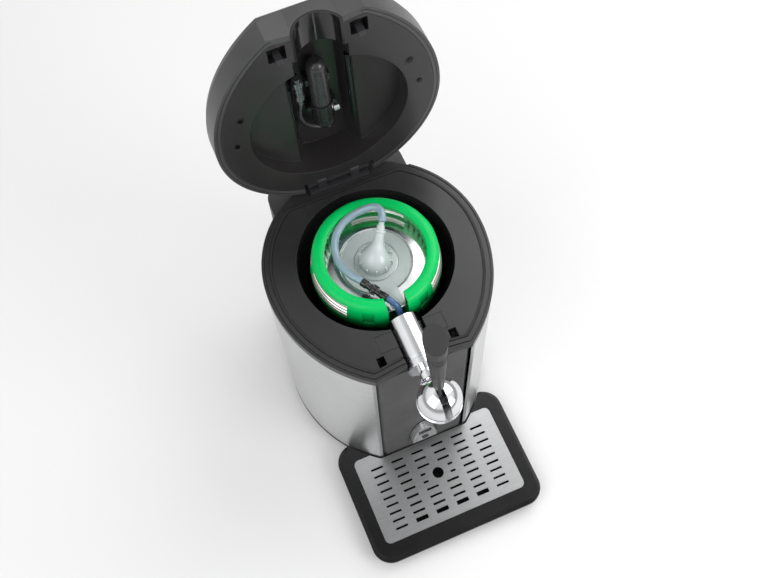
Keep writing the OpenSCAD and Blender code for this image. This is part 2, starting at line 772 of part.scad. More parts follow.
module latch_hooks() {
    color("#262628") opened() for (s = [-1, 1]) union() {
        box([s * latch_x - 4, -latch_y - 3, rim_z - 8], [s * latch_x + 4, -latch_y + 1, rim_z + 13]);
        box([s * latch_x - 4, -latch_y + 0.9, rim_z - 8], [s * latch_x + 4, -latch_y + 4, rim_z - 4]);
        box([s * latch_x - 7, -latch_y - 8, rim_z + 10], [s * latch_x + 7, -latch_y + 1, rim_z + 13]);
    }
}
module liner_screws() {
    color("#9a9ca0") opened() for (p = screw_spots, s = [-1, 1])
        translate([s * p[0], p[1], rim_z]) union() {
            translate([0, 0, -1.2]) cylinder(r = 3, h = 1.2);
            translate([0, 0, -thin]) cylinder(r = 1.7, h = 9);
        }
}

// ---- Gas regulator, stored in the lid ----

module gas_cartridge() {
    z = rim_z + regulator_up;
    color("#323335") opened() union() {
        rod_y(-58, 3, z, regulator_r);
        intersection() {
            rod_y(-68, -57, z, regulator_r);
            translate([0, -58, z]) sphere(r = regulator_r);
        }
    }
}
module gas_regulator() {
    z = rim_z + regulator_up;
    color("#2a2b2d") opened() union() {
        rod_y(3, 7, z, regulator_body_r + 0.8);
        rod_y(7, 34, z, regulator_body_r);
        rod_y(34, 37, z, regulator_body_r + 0.6);
        translate([0, 46, z]) rotate([90, 0, 0]) cylinder(r1 = 8, r2 = regulator_body_r - 1, h = 9);
        translate([5, 48.5, z]) rotate([90, 0, 0]) cylinder(r = 2.6, h = 5);
    }
}
module regulator_dial() {
    z = rim_z + regulator_up;
    color("#c0c2c5") opened() rod_x(regulator_body_r + clear, regulator_body_r + 7, 24, z, 5.5);
}
module regulator_clips() {
    z = rim_z + regulator_up;
    top = rim_z + channel_d;
    color("#202022") opened() difference() {
        union() {
            box([-15, -38, z], [15, -28, top]);
            box([-18, 10, z], [18, 17, top]);
            box([coupler_x - 2.5, -38, rim_z + coupler_up + 1], [coupler_x + 5, -28, top]);
        }
        rod_y(-60, 0, z, regulator_r + fit);
        rod_y(0, 60, z, regulator_body_r + fit);
        rod_y(-60, 0, rim_z + coupler_up, 5 + fit, coupler_x);
    }
}
module gas_coupler() {
    z = rim_z + coupler_up;
    color("#85878b") opened() union() {
        rod_y(-52, -48, z, 4, coupler_x);
        rod_y(-48, -40, z, 6.5, coupler_x);
        rod_y(-40, -24, z, 5, coupler_x);
        rod_y(-24, -17, z, 6, coupler_x);
        rod_y(-17, -7, z, 3.4, coupler_x);
    }
}
module gas_hose() color("#a3a5a8") opened() tube(gas_path, gas_r, 8);

// ---- Tap ----

module tap_barrel() {
    color("#e3e5e8") difference() {
        rod_y(-barrel_front, -barrel_back, tap_z, barrel_r);
        rod_y(-barrel_front + 5, -barrel_back + 1, tap_z, barrel_r - 2.5);
        rod_y(-barrel_front - 1, -barrel_back, tap_z, neck_r + fit);
    }
}
module tap_flange() {
    color("#dcdee1") difference() {
        rod_y(-body_front - 2.5, -barrel_front - thin, tap_z, barrel_r + 1);
        rod_y(-body_front - 4, -barrel_front + 1, tap_z, neck_r + fit);
        difference() {
            rod_y(-body_front - 0.0, -barrel_front + 1, tap_z, barrel_r + 9);
            rod_y(-body_front - 1, -barrel_front + 2, tap_z, barrel_r);
        }
    }
}
module tap_neck() {
    color("#e3e5e8") difference() {
        rod_y(-ball_y + ball_r - 4, -barrel_front + 12, tap_z, neck_r);
        rod_y(-ball_y + ball_r - 5, -barrel_front + 13, tap_z, feed_r + fit);
    }
}
collar_y = ball_y - ball_r;
lip_w = 0.4;
lip_z = 9;
module tap_collar() {
    color("#eceef0") difference() {
        union() {
            rod_y(-collar_y - 1, -collar_y + 6, tap_z, neck_r + 4.5);
            rod_y(-collar_y + 6, -collar_y + 8, tap_z, neck_r + 2);
        }
        rod_y(-collar_y - 2, -collar_y + 9, tap_z, neck_r + fit);
        translate([0, -ball_y, tap_z]) sphere(r = ball_r + fit);
        translate([0, -ball_y, tap_z - 20]) cylinder(r = ball_r + lip_w + fit, h = 20 - lip_z);
    }
}
lever_slot = 4.6;
hub_r = 8.5;
module tap_ball() {
    color("#e8eaed") difference() {
        union() {
            translate([0, -ball_y, tap_z]) sphere(r = ball_r);
            translate([0, -ball_y, tap_z - lip_z - 2]) cylinder(r = ball_r + lip_w, h = 2);
            translate([0, -ball_y, tap_z - lip_z - 7]) cylinder(r1 = ball_r - 3, r2 = ball_r + lip_w, h = 5);
        }
        rod_y(-ball_y + ball_r - 4, -ball_y + ball_r + 4, tap_z, neck_r + fit);
        box([-lever_slot, -ball_y - ball_r - 1, tap_z - 12], [lever_slot, -ball_y + hub_r + 1.5, tap_z + ball_r + 1]);
        rod_x(-ball_r - 1, ball_r + 1, -ball_y, tap_z, 2.02);
        translate([0, -ball_y, tap_z - ball_r - 1]) cylinder(r = 6, h = ball_r - 9);
    }
}
module tap_spout() {
    color("#dcdee1") translate([0, -ball_y, tap_z]) difference() {
        union() {
            difference() {
                union() {
                    translate([0, 0, -32]) cylinder(r1 = 8, r2 = 10, h = 8);
                    translate([0, 0, -spout_len]) cylinder(r1 = 6.5, r2 = 8, h = spout_len - 32);
                }
                sphere(r = ball_r + fit);
            }
            translate([0, 0, -31]) cylinder(r = 5.95, h = 12);
        }
        translate([0, 0, -spout_len - 1]) cylinder(r = 4.5, h = spout_len);
    }
}
module tap_feed() color("#3466a8") rod_y(4 - barrel_front, -barrel_back, tap_z, feed_r);

// Grip: tapered, three grooves, top cut at a slant that faces the front
module tap_lever() {
    grip_base = ball_r + 6;
    groove_at = lever_len - 40;
    slope = (grip_r - 6.5) / (lever_len - grip_base);
    slant = 42;
    color("#39393b") translate([0, -ball_y, tap_z]) rotate([-lever_lean, 0, 0]) difference() {
        union() {
            rod_x(-lever_slot + clear, lever_slot - clear, 0, 0, hub_r);
            cylinder(r = 4, h = grip_base + 1);
            translate([0, 0, grip_base]) rotate_extrude() polygon([
                [0, 0], [5.5, 0], [6.5, 2], for (i = [0:2]) each let (
                    z = groove_at - grip_base + 5 * i, r = 6.5 + slope * z)
                    [[r, z], [r - 0.9, z + 0.5], [r - 0.9, z + 1.4], [r, z + 1.9]],
                [grip_r, lever_len - grip_base], [grip_r, lever_len - grip_base + 14],
                [0, lever_len - grip_base + 14]
            ]);
        }
        rod_x(-10, 10, 0, 0, 2 + fit);
        translate([0, 0, lever_len]) rotate([slant, 0, 0]) box([-30, -50, 0], [30, 50, 60]);
    }
}
module lever_pin() color("#cfd1d4") rod_x(-ball_r + 3, ball_r - 3, -ball_y, tap_z, 2);

// ---- Keg ----

keg_t = 1.2;
neck_in = 4;
chine = 6;
keg_body_top = keg_top - 26;
// Outline of the keg's inside, or of what it holds when inset a little more
module keg_inside(inset, top) {
    rotate_extrude() polygon([
        [0, keg_base + 9 + inset], [keg_r - inset - 1, keg_base + 9 + inset],
        [keg_r - inset - 1, keg_top - ring_h - 5], [keg_r - neck_in - inset, keg_top - ring_h - 1],
        [keg_r - neck_in - inset, top - chine], [keg_r - neck_in - chine - inset, top], [0, top]
    ]);
}
module keg() {
    color("#bfc2c6") difference() {
        rotate_extrude() polygon([
            [0, keg_base + 9], [keg_r - 22, keg_base + 9], [keg_r - 14, keg_base],
            [keg_r - 3, keg_base], [keg_r, keg_base + 3], [keg_r, keg_base + 40],
            [keg_r - 1, keg_base + 42], [keg_r, keg_base + 44], [keg_r, keg_top - ring_h - 12],
            [keg_r - 1, keg_top - ring_h - 10], [keg_r, keg_top - ring_h - 8],
            [keg_r, keg_top - ring_h - 3], [keg_r - neck_in, keg_top - ring_h],
            [keg_r - neck_in, keg_body_top - chine], [keg_r - neck_in - chine, keg_body_top],
            [46, keg_body_top], [44, keg_body_top - 1.5], [0, keg_body_top - 1.5]
        ]);
        keg_inside(keg_t, keg_body_top - 1.5 - keg_t);
    }
}
module keg_drink() color("#d9982b") keg_inside(keg_t + 0.1, keg_body_top - 14);
ring_r = keg_r + 1.5;
module keg_ring() {
    low = keg_top - ring_h;
    hold = keg_r - 4 + clear;
    color("#00b45a") difference() {
        rotate_extrude() union() {
            polygon([
                [hold, low], [ring_r - 1, low], [ring_r, low + 1], [ring_r, keg_top - 9],
                [ring_r - 0.8, keg_top - 5.5], [ring_r - 3, keg_top - 2.5],
                [ring_r - 6.5, keg_top - 0.6], [ring_r - 10, keg_top], [ring_in + 3, keg_top],
                [ring_in + 0.8, keg_top - 1], [ring_in, keg_top - 3.5], [ring_in + 2, keg_top - 14],
                [ring_in + 4, keg_top - 26 + clear], [keg_r - 10 + 0.2, keg_top - 26 + clear],
                [hold, keg_top - 32 + clear]
            ]);
        }
        rotate([0, 0, -92]) box([40, -13, keg_top - 37], [90, 13, keg_top + 1]);
        for (a = [-119, -65, -5, 55, 115, 175]) rotate([0, 0, a])
            box([ring_r - 5, -6, keg_top - 22], [ring_r + 2, 6, keg_top - 8]);
        for (i = [0:5]) rotate([0, 0, 60 * i + 35])
            translate([ring_r + 14, 0, keg_top - 7]) cylinder(r = 16, h = 8);
    }
}
module keg_spout() {
    base = keg_top - 27.5;
    tilt = spout_top - [0, 0, base + 15];
    lean = acos(tilt[2] / norm(tilt));
    turn = atan2(tilt[1], tilt[0]);
    color("#e6ebee") union() {
        translate([0, 0, base]) rotate_extrude() polygon([
            [0, 0], [27, 0], [27, 2], [21, 3.5], [20, 8], [19, 13], [15, 18.5], [9, 22.5], [0, 24]
        ]);
        for (i = [0:5]) rotate([0, 0, 60 * i]) box([12, -1.2, base + 3], [22, 1.2, base + 13]);
        translate([0, 0, base + 15]) rotate([0, lean, turn]) union() {
            cylinder(r1 = 7, r2 = 4.8, h = norm(tilt) - 12);
            cylinder(r = 4.8, h = norm(tilt) - 6);
            translate([0, 0, norm(tilt) - 12]) cylinder(r = 6, h = 3);
            translate([0, 0, norm(tilt) - 7]) cylinder(r = 3.4, h = 6.9);
        }
    }
}
module beer_line() color("#bcd6ea", 0.6) tube(line_path, line_r, 12);
module line_coupler() {
    from = line_path[len(line_path) - 1];
    to = feed_path[0];
    run = to - from;
    lean = acos(run[2] / norm(run));
    turn = atan2(run[1], run[0]);
    long = norm(run);
    color("#18181a") translate(from) rotate([0, lean, turn]) union() {
        translate([0, 0, 0.4]) cylinder(r = line_r + 1.2, h = 8.6);
        translate([0, 0, 9 - thin]) cylinder(r = 3.6, h = long - 18 + 2 * thin);
        translate([0, 0, long / 2 - 3]) cylinder(r = 5.2, h = 6);
        translate([0, 0, long - 9]) cylinder(r = feed_r + 1.2, h = 8.6);
    }
}
module feed_line() color("#2f62a6") tube(feed_path, feed_r, 12);

// ---- Drip tray ----

module tray_rect(inset) {
    round_rect(inset - tray_half, inset - tray_front, tray_half - inset, -tray_back - inset,
        tray_corner - inset);
}
grille_half = tray_half - tray_rim;
grille_front = tray_front - tray_rim - 4;
grille_back = tray_back + 26.5;
module grille_rect(inset) {
    round_rect(inset - grille_half, inset - grille_front, grille_half - inset, -grille_back - inset, 8);
}
module drip_tray() {
    color("#262627") {
        difference() {
            hull() {
                slab(0.6, 1) tray_rect(9);
                slab(tray_h - 9, tray_h - 5) tray_rect(0);
                slab(tray_h - 1, tray_h) tray_rect(5);
            }
            slab(-1, tray_h + 1) body_plan(-1.2);
            slab(grille_z, tray_h + 1) grille_rect(-0.4);
            difference() {
                slab(3.2, tray_h + 1) grille_rect(4);
                slab(0, tray_h + 2) body_plan(-5);
            }
        }
        box([-50, -body_front - 4, 0.8], [50, -130, foot_h - 0.5]);
    }
}
module drip_grille() {
    first = grille_back + 22;
    color("#c3c5c8") difference() {
        slab(grille_z, grille_z + grille_t) difference() {
            grille_rect(0);
            body_plan(-2);
        }
        for (c = [-2.5:1:2.5], k = [0:8]) {
            short = abs(c) < 1 && (k == 3 || k == 4);
            wide = k == 8 && abs(c) < 2 ? 2 * slot_w : slot_w;
            length = short ? slot_len * 0.42 : slot_len;
            shift = short ? sign(c) * slot_len * 0.3 : 0;
            translate([c * slot_col + shift - length / 2, -first - k * slot_row - wide / 2, 0])
                cube([length, wide, tray_h + 2]);
        }
        translate([0, -first - 3.5 * slot_row, 0]) cylinder(r = 8, h = tray_h + 2);
    }
}

foot_ring();
base_pan();
side_shell();
front_panel();
badge_surround();
display_bezel();
display_window();
set_button();
control_board();
power_supply();
deck();
lid_seal();
tap_cradle();
well_liner();
well_foam();
cold_block();
peltier_module();
heat_sink();
fan_frame();
fan_rotor();
rear_housing();
vent_grille();
power_inlet();
power_switch();
deck_screws();
hinge_bracket();
hinge_pin();
lid_shell();
lid_liner();
lid_tunnel();
latch_hooks();
hinge_leaf();
liner_screws();
gas_regulator();
gas_cartridge();
regulator_dial();
regulator_clips();
gas_coupler();
gas_hose();
tap_barrel();
tap_flange();
tap_neck();
tap_collar();
tap_ball();
tap_spout();
tap_feed();
tap_lever();
lever_pin();
keg();
keg_drink();
keg_ring();
keg_spout();
beer_line();
line_coupler();
feed_line();
drip_tray();
drip_grille();
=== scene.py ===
"""Looks of the worktop beer dispenser: materials, fine pieces, studio light and camera.

Everything is in metres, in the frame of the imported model. The lid is stored open, so its
pieces are made closed and turned open about the hinge, as the model's own are.
"""

import json
import math

import bmesh
import bpy
from mathutils import Matrix, Vector


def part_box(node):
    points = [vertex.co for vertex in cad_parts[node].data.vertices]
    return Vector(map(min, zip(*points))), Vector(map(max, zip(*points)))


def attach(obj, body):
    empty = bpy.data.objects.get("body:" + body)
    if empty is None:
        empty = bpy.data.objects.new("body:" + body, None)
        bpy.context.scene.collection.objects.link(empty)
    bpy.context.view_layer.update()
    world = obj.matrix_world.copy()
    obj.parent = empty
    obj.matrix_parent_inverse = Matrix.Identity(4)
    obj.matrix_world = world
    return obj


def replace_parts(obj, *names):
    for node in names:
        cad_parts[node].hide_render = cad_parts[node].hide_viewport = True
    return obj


MM = 0.001

# ---- Camera: the photograph's view, from above and a little to the left ----

CAMERA_AT = (-0.1808, -0.5416, 1.4745)
CAMERA_TURN = (24.92, 1.66, -22.92)
CAMERA_LENS = 48.5
CAMERA_SENSOR = 36


def make_camera():
    """The camera of the photograph's view."""
    data = bpy.data.cameras.new("camera")
    data.lens = CAMERA_LENS
    data.sensor_width = CAMERA_SENSOR
    camera = bpy.data.objects.new("camera", data)
    camera.location = CAMERA_AT
    camera.rotation_euler = [math.radians(a) for a in CAMERA_TURN]
    bpy.context.scene.collection.objects.link(camera)
    bpy.context.scene.camera = camera


make_camera()
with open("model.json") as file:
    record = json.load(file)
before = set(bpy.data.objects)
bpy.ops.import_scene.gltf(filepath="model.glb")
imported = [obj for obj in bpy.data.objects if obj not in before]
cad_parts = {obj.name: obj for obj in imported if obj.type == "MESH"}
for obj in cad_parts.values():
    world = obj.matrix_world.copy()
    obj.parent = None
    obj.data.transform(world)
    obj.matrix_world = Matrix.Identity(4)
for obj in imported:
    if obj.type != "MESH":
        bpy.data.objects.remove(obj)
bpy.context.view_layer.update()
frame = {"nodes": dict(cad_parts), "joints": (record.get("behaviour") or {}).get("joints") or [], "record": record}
JOINTS = {joint["name"]: joint for joint in frame["joints"]}

# ---- Places read from the frame ----

DECK_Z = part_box("deck")[1].z
RIM_Z = DECK_Z + 1.5 * MM
LID_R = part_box("lid_shell")[1].x
HINGE = Vector(JOINTS["lid_hinge"]["pos_m"])
LID_OPEN = -JOINTS["lid_hinge"]["range_deg"][0]
OPENED = (
    Matrix.Translation(HINGE)
    @ Matrix.Rotation(-math.radians(LID_OPEN), 4, "X")
    @ Matrix.Translation(-HINGE)
)


# ---- Materials ----

# How fast the rings on the keg's lid follow each other, in radians a metre
RING_WAVE = 900


class Finish:
    """One material: a principled shader fed by noise that is laid out in object space."""

    def __init__(self, slot):
        self.material = bpy.data.materials.new(slot)
        self.material.use_nodes = True
        self.tree = self.material.node_tree
        self.shader = self.tree.nodes["Principled BSDF"]
        self.place = self.add("ShaderNodeTexCoord").outputs["Object"]
        self.round = None

    def add(self, kind, **sockets):
        """A node of that kind, with values or links for its sockets."""
        made = self.tree.nodes.new(kind)
        for name, value in sockets.items():
            socket = made.inputs[name.replace("_", " ")]
            if isinstance(value, bpy.types.NodeSocket):
                self.tree.links.new(value, socket)
            else:
                socket.default_value = value
        return made

    def link(self, output, name):
        """Feeds one of the shader's inputs."""
        self.tree.links.new(output, self.shader.inputs[name])

    def set(self, **sockets):
        """Sets plain values on the shader."""
        for name, value in sockets.items():
            self.shader.inputs[name.replace("_", " ")].default_value = value

    def noise(self, scale, stretch=(1, 1, 1), detail=4.0, roughness=0.55):
        """A noise with that many features in a metre."""
        mapped = self.add("ShaderNodeMapping", Vector=self.place, Scale=stretch)
        made = self.add("ShaderNodeTexNoise", Vector=mapped.outputs[0], Scale=scale)
        made.inputs["Detail"].default_value = detail
        made.inputs["Roughness"].default_value = roughness
        return made.outputs["Fac"]

    def spread(self, value, low, high, start=0.3, stop=0.7):
        """Stretches the middle of a noise over a range."""
        made = self.add("ShaderNodeMapRange", Value=value)
        made.inputs["From Min"].default_value = start
        made.inputs["From Max"].default_value = stop
        made.inputs["To Min"].default_value = low
        made.inputs["To Max"].default_value = high
        return made.outputs["Result"]

    def blend(self, factor, first, second):
        """A colour between two, each given as values or as a socket."""
        made = self.tree.nodes.new("ShaderNodeMix")
        made.data_type = "RGBA"
        self.tree.links.new(factor, made.inputs["Factor"])
        for socket, value in ((made.inputs["A"], first), (made.inputs["B"], second)):
            if isinstance(value, bpy.types.NodeSocket):
                self.tree.links.new(value, socket)
            else:
                socket.default_value = (*value, 1)
        return made.outputs["Result"]

    def soften(self, radius):
        """Rounds the look of every edge by that radius."""
        made = self.add("ShaderNodeBevel", Radius=radius)
        made.samples = 4
        self.round = made.outputs["Normal"]

    def bump(self, height, strength, distance):
        """Relief on the surface, on top of the softened edges."""
        made = self.add("ShaderNodeBump", Height=height, Strength=strength, Distance=distance)
        if self.round is not None:
            self.tree.links.new(self.round, made.inputs["Normal"])
        self.link(made.outputs["Normal"], "Normal")


def plastic(slot, color, rough, spread=0.06, grain=1400, depth=0.05, edge=0.5, **sockets):
    """Moulded plastic: broad faint clouds of tone, fine grain and softened edges."""
    made = Finish(slot)
    made.set(**sockets)
    clouds = made.noise(14)
    tone = made.spread(clouds, 0.0, 1.0)
    pale = [min(1, c * 1.18 + 0.002) for c in color]
    dark = [c * 0.86 for c in color]
    made.link(made.blend(tone, dark, pale), "Base Color")
    rub = made.noise(60, detail=6)
    made.link(made.spread(rub, rough - spread, rough + spread), "Roughness")
    made.soften(edge * MM)
    made.bump(made.noise(grain, detail=2), depth, 0.15 * MM)
    return made.material


def brushed(slot, color, rough, stretch, scale=30, depth=0.05, spread=0.1, edge=0.3, **sockets):
    """Brushed metal: hair lines along one direction in colour, roughness and relief."""
    made = Finish(slot)
    made.set(Metallic=1.0, **sockets)
    lines = made.noise(scale, stretch, detail=8, roughness=0.7)
    fine = made.noise(scale * 4, stretch, detail=3)
    dark = [c * 0.84 for c in color]
    pale = [min(1, c * 1.05) for c in color]
    made.link(made.blend(made.spread(lines, 0, 1), dark, pale), "Base Color")
    made.link(made.spread(fine, rough - spread, rough + spread), "Roughness")
    made.soften(edge * MM)
    made.bump(lines, depth, 0.05 * MM)
    return made.material


def polished(slot, color, rough=0.05, smudge=0.05, edge=0.25):
    """Polished plating: a clear mirror with faint smears."""
    made = Finish(slot)
    made.set(Metallic=1.0)
    smear = made.noise(45, (1, 1, 2.5), detail=6)
    dark = [c * 0.93 for c in color]
    made.link(made.blend(made.spread(smear, 0, 1), dark, color), "Base Color")
    made.link(made.spread(smear, rough, rough + smudge, 0.45, 0.75), "Roughness")
    made.soften(edge * MM)
    made.bump(made.noise(260, detail=2), 0.02, 0.05 * MM)
    return made.material


def rubber(slot, color, rough=0.75):
    """Matt rubber or soft plastic with a deeper grain."""
    return plastic(slot, color, rough, spread=0.1, grain=900, depth=0.16, edge=0.4)


def liner_finish(slot, color):
    """Lid liner: satin moulding under a thin clear coat."""
    made = Finish(slot)
    clouds = made.noise(10)
    pale = [c * 1.25 for c in color]
    made.link(made.blend(made.spread(clouds, 0, 1), color, pale), "Base Color")
    rub = made.noise(30, detail=3)
    made.link(made.spread(rub, 0.30, 0.36), "Roughness")
    made.set(Coat_Weight=0.12, Coat_Roughness=0.15, Specular_IOR_Level=0.4)
    made.soften(1.2 * MM)
    made.bump(made.noise(90, detail=1), 0.01, 0.1 * MM)
    return made.material


def green_with_painted_shade(slot):
    """Keg ring: green plastic with painted shade, the colour darkening towards its lower edge as the well's shadow
    would.
    """
    made = Finish(slot)
    clouds = made.noise(18, detail=2)
    tones = made.blend(made.spread(clouds, 0, 1), (0.0, 0.45, 0.095), (0.0, 0.53, 0.12))
    # Painted shade: the green fades to near black towards the ring's lower edge, standing in for the shadow deep
    # in the well.
    share = made.add("ShaderNodeTexCoord").outputs["Generated"]
    split = made.add("ShaderNodeSeparateXYZ", Vector=share)
    height = made.spread(split.outputs["Z"], 0, 1, 0, 0.85)
    made.link(made.blend(height, (0.0, 0.045, 0.009), tones), "Base Color")
    made.link(made.spread(made.noise(40, detail=2), 0.24, 0.3), "Roughness")
    made.set(Specular_IOR_Level=0.2)
    made.soften(1.0 * MM)
    made.bump(made.noise(120, detail=1), 0.01, 0.2 * MM)
    return made.material


def keg_finish(slot):
    """Keg steel: lacquered tin with rings turned into its lid."""
    made = Finish(slot)
    made.set(Metallic=1.0, Coat_Weight=0.2, Coat_Roughness=0.1)
    flat = made.add("ShaderNodeMapping", Vector=made.place, Scale=(1, 1, 0))
    radius = made.add("ShaderNodeVectorMath", Vector=flat.outputs[0])
    radius.operation = "LENGTH"
    rings = made.add("ShaderNodeMath", Value=radius.outputs["Value"])
    rings.operation = "MULTIPLY"
    rings.inputs[1].default_value = RING_WAVE
    wave = made.add("ShaderNodeMath", Value=rings.outputs[0])
    wave.operation = "SINE"
    clouds = made.noise(30, detail=6)
    made.link(
        made.blend(made.spread(clouds, 0, 1), (0.70, 0.73, 0.72), (0.80, 0.83, 0.82)), "Base Color"
    )
    made.link(made.spread(made.noise(40, detail=2), 0.12, 0.18), "Roughness")
    made.soften(0.8 * MM)
    made.bump(wave.outputs[0], 0.02, 0.05 * MM)
    return made.material


def chime_finish():
    """Keg shoulder: bright lacquered metal, a little milky."""
    material = polished("chime", (0.90, 0.89, 0.82), 0.18)
    material.node_tree.nodes["Principled BSDF"].inputs["Metallic"].default_value = 0.72
    return material


def clear_finish(slot, color, through, rough=0.08):
    """Clear or milky moulding that lets some light through."""
    made = Finish(slot)
    clouds = made.noise(70, detail=4)
    pale = [min(1, c * 1.1) for c in color]
    made.link(made.blend(made.spread(clouds, 0, 1), color, pale), "Base Color")
    made.link(made.spread(made.noise(60, detail=2), rough, rough + 0.06), "Roughness")
    made.set(Transmission_Weight=through, IOR=1.42, Coat_Weight=0.4, Coat_Roughness=0.05)
    made.bump(made.noise(120, detail=1), 0.01, 0.1 * MM)
    return made.material


GREY = (0.018, 0.018, 0.0185)
FINISHES = {
    "foot": lambda s: rubber(s, (0.02, 0.02, 0.02)),
    "base": lambda s: plastic(s, (0.018, 0.018, 0.019), 0.5, depth=0.2),
    "steel": lambda s: brushed(s, (0.76, 0.765, 0.77), 0.32, (1, 1, 40), depth=0.02, spread=0.05),
    "panel": lambda s: plastic(s, (0.060, 0.060, 0.061), 0.46, spread=0.03, grain=1500, depth=0.02),
    "badge_dark": lambda s: plastic(s, (0.008, 0.008, 0.009), 0.14, depth=0.01),
    "badge_silver": lambda s: brushed(s, (0.86, 0.87, 0.88), 0.36, (30, 1, 1), depth=0.02),
    "display": lambda s: plastic(s, (0.006, 0.008, 0.011), 0.08, spread=0.03, depth=0.01),
    "button": lambda s: rubber(s, (0.03, 0.03, 0.032), 0.6),
    "board": lambda s: plastic(s, (0.02, 0.16, 0.06), 0.35),
    "supply": lambda s: brushed(s, (0.5, 0.51, 0.53), 0.4, (1, 30, 1)),
    "deck": lambda s: plastic(s, GREY, 0.30, spread=0.02, grain=160, depth=0.01, edge=0.9),
    "seal": lambda s: rubber(s, (0.006, 0.006, 0.006), 0.6),
    "cradle": lambda s: plastic(s, (0.017, 0.017, 0.0175), 0.34, spread=0.02, grain=160, depth=0.01),
    "well": lambda s: plastic(s, (0.006, 0.007, 0.008), 0.3),
    "foam": lambda s: plastic(s, (0.80, 0.77, 0.68), 0.85, grain=500, depth=0.5),
    "alloy": lambda s: brushed(s, (0.68, 0.69, 0.71), 0.36, (1, 1, 20)),
    "ceramic": lambda s: plastic(s, (0.82, 0.8, 0.74), 0.6),
    "fan": lambda s: plastic(s, (0.014, 0.014, 0.015), 0.5),
    "rear": lambda s: plastic(s, (0.024, 0.024, 0.026), 0.48, grain=900, depth=0.3),
    "switch": lambda s: plastic(s, (0.01, 0.01, 0.01), 0.3),
    "bolts": lambda s: polished(s, (0.035, 0.035, 0.037), 0.25),
    "hinge": lambda s: plastic(s, (0.022, 0.022, 0.024), 0.36),
    "pin": lambda s: polished(s, (0.68, 0.68, 0.7), 0.16),
    "lid": lambda s: plastic(s, (0.046, 0.046, 0.047), 0.32, spread=0.03, grain=160, depth=0.01, edge=1.2),
    "liner": lambda s: liner_finish(s, (0.0185, 0.0168, 0.0175)),
    "tunnel": lambda s: plastic(s, (0.006, 0.006, 0.007), 0.14, spread=0.05, depth=0.02),
    "regulator": lambda s: plastic(s, (0.012, 0.012, 0.013), 0.26),
    "sleeve": lambda s: plastic(s, (0.03, 0.03, 0.032), 0.28, edge=0.6),
    "dial": lambda s: polished(s, (0.66, 0.67, 0.69), 0.12),
    "coupler_metal": lambda s: brushed(s, (0.30, 0.31, 0.33), 0.32, (1, 1, 12)),
    "gas_tube": lambda s: clear_finish(s, (0.07, 0.07, 0.075), 0.1, 0.25),
    "chrome": lambda s: polished(s, (0.90, 0.91, 0.93), 0.10, 0.04),
    "blue_tube": lambda s: clear_finish(s, (0.05, 0.12, 0.27), 0.2, 0.14),
    "grip": lambda s: plastic(
        s, (0.0135, 0.0135, 0.014), 0.42, spread=0.03, grain=900, depth=0.03, edge=0.7
    ),
    "keg_steel": keg_finish,
    "keg_green": green_with_painted_shade,
    "spout": lambda s: clear_finish(s, (0.62, 0.68, 0.68), 0.25, 0.2),
    "clear_tube": lambda s: clear_finish(s, (0.30, 0.42, 0.50), 0.3, 0.12),
    "drink": lambda s: clear_finish(s, (0.80, 0.45, 0.10), 0.6, 0.05),
    "coupler": lambda s: plastic(s, (0.006, 0.006, 0.007), 0.2, depth=0.02),
    "tray": lambda s: plastic(
        s, (0.005, 0.005, 0.0054), 0.26, spread=0.03, grain=160, depth=0.01, edge=1.2, Specular_IOR_Level=0.3
    ),
    "grille": lambda s: brushed(s, (0.43, 0.435, 0.44), 0.34, (1, 26, 1), depth=0.02, spread=0.05, edge=0.5),
}
MATERIALS = {slot: make(slot) for slot, make in FINISHES.items()}


def dress_frame():
    """Gives every node of the model the material of its slot."""
    for part in frame["record"]["subparts"]:
        node = frame["nodes"][part["node"]]
        node.data.materials.clear()
        node.data.materials.append(MATERIALS[part["material_slot"]])


# ---- Mesh helpers ----

SHARP = 32
SIDES = {-1: "left", 1: "right"}


def keep(mesh, name, body, slot, placed=None, sharp=SHARP):
    """Turns a bmesh into a piece that rides on a body and wears a slot's material."""
    bmesh.ops.recalc_face_normals(mesh, faces=mesh.faces)
    if placed is not None:
        mesh.transform(placed)
    data = bpy.data.meshes.new(name)
    mesh.to_mesh(data)
    mesh.free()
    data.shade_smooth()
    data.set_sharp_from_angle(angle=math.radians(sharp))
    piece = bpy.data.objects.new(name, data)
    bpy.context.scene.collection.objects.link(piece)
    data.materials.append(MATERIALS[slot])
    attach(piece, body)
    return piece


def cut(piece, cutter_mesh, name):
    """Takes a closed form out of a piece."""
    data = bpy.data.meshes.new(name)
    bmesh.ops.recalc_face_normals(cutter_mesh, faces=cutter_mesh.faces)
    cutter_mesh.to_mesh(data)
    cutter_mesh.free()
    cutter = bpy.data.objects.new(name, data)
    bpy.context.scene.collection.objects.link(cutter)
    modifier = piece.modifiers.new("cut", "BOOLEAN")
    modifier.object = cutter
    modifier.solver = "EXACT"
    bpy.context.view_layer.update()
    shown = piece.evaluated_get(bpy.context.evaluated_depsgraph_get())
    result = bpy.data.meshes.new_from_object(shown)
    piece.modifiers.clear()
    piece.data = result
    bpy.data.objects.remove(cutter)
    result.shade_smooth()
    result.set_sharp_from_angle(angle=math.radians(SHARP))


def lathe(outline, steps=64):
    """A closed form turned about Z from (radius, height) points that start and end on the axis."""
    mesh = bmesh.new()
    rings = []
    for radius, height in outline:
        if radius < 1e-7:
            rings.append([mesh.verts.new((0, 0, height))])
            continue
        ring = []
        for k in range(steps):
            a = 2 * math.pi * k / steps
            ring.append(mesh.verts.new((radius * math.cos(a), radius * math.sin(a), height)))
        rings.append(ring)
    for low, high in zip(rings, rings[1:]):
        for k in range(steps):
            n = (k + 1) % steps
            if len(low) == 1:
                mesh.faces.new((low[0], high[k], high[n]))
            elif len(high) == 1:
                mesh.faces.new((low[k], low[n], high[0]))
            else:
                mesh.faces.new((low[k], low[n], high[n], high[k]))
    return mesh


